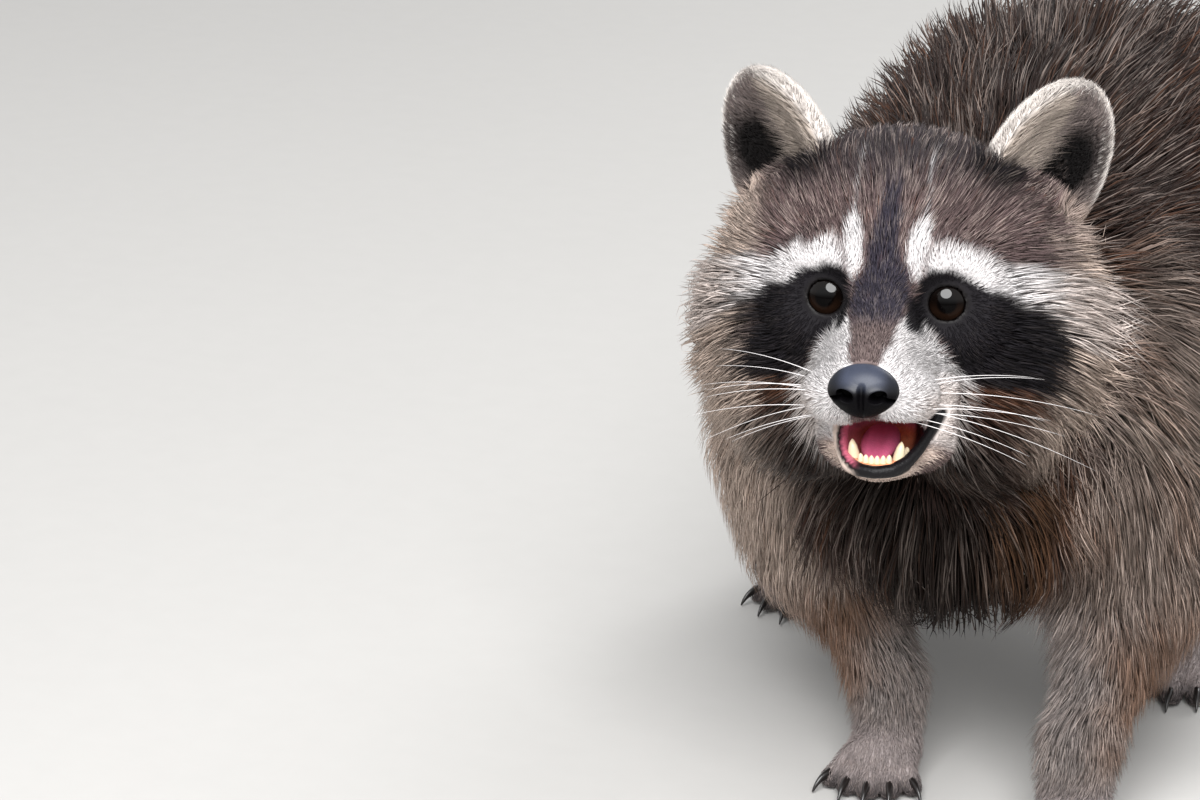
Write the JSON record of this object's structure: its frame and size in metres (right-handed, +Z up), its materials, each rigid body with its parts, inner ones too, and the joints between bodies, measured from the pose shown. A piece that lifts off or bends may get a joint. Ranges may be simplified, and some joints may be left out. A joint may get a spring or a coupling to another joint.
{
  "type": "raccoon",
  "caption": "Life-size still model of a raccoon standing on all fours, head raised and turned, mouth a little open, ringed tail sloping down behind.",
  "frame": {"origin": "on the floor, under the middle of the whole model's box", "axes": "+X to the animal's left, -Y the way its body faces, +Y towards the tail, +Z up"},
  "size_m": [0.2512, 0.6382, 0.2836],
  "materials": {
    "fur_grizzled": "grizzled grey-brown fur",
    "fur_face": "short grey, white and black face fur",
    "fur_pale": "pale grey fur",
    "fur_ring": "dark tail-ring fur",
    "skin": "bare dark skin of lids, lips and pads",
    "nose_skin": "damp black leathery skin",
    "horn": "dark horn",
    "eye": "wet dark brown eye",
    "tongue": "wet pink tissue",
    "tooth": "ivory enamel"
  },
  "bodies": {
    "root": {"eye_right": "eye", "ear_right": "fur_pale", "eye_left": "eye", "ear_left": "fur_pale", "nose": "nose_skin", "tongue": "tongue", "teeth_lower": "tooth", "head": "fur_face", "jaw": "fur_pale", "neck": "fur_grizzled", "trunk": "fur_grizzled", "upper_arm_front_right": "fur_grizzled", "forearm_front_right": "fur_pale", "paw_front_right": "fur_pale", "claw_front_right_1": "horn", "claw_front_right_2": "horn", "claw_front_right_3": "horn", "claw_front_right_4": "horn", "claw_front_right_5": "horn", "upper_arm_front_left": "fur_grizzled", "forearm_front_left": "fur_pale", "paw_front_left": "fur_pale", "claw_front_left_1": "horn", "claw_front_left_2": "horn", "claw_front_left_3": "horn", "claw_front_left_4": "horn", "claw_front_left_5": "horn", "thigh_hind_right": "fur_grizzled", "shank_hind_right": "fur_pale", "foot_hind_right": "fur_pale", "claw_hind_right_1": "horn", "claw_hind_right_2": "horn", "claw_hind_right_3": "horn", "claw_hind_right_4": "horn", "claw_hind_right_5": "horn", "thigh_hind_left": "fur_grizzled", "shank_hind_left": "fur_pale", "foot_hind_left": "fur_pale", "claw_hind_left_1": "horn", "claw_hind_left_2": "horn", "claw_hind_left_3": "horn", "claw_hind_left_4": "horn", "claw_hind_left_5": "horn", "tail_1": "fur_grizzled", "tail_2": "fur_ring", "tail_3": "fur_grizzled", "tail_4": "fur_ring"}
  },
  "joints": []
}
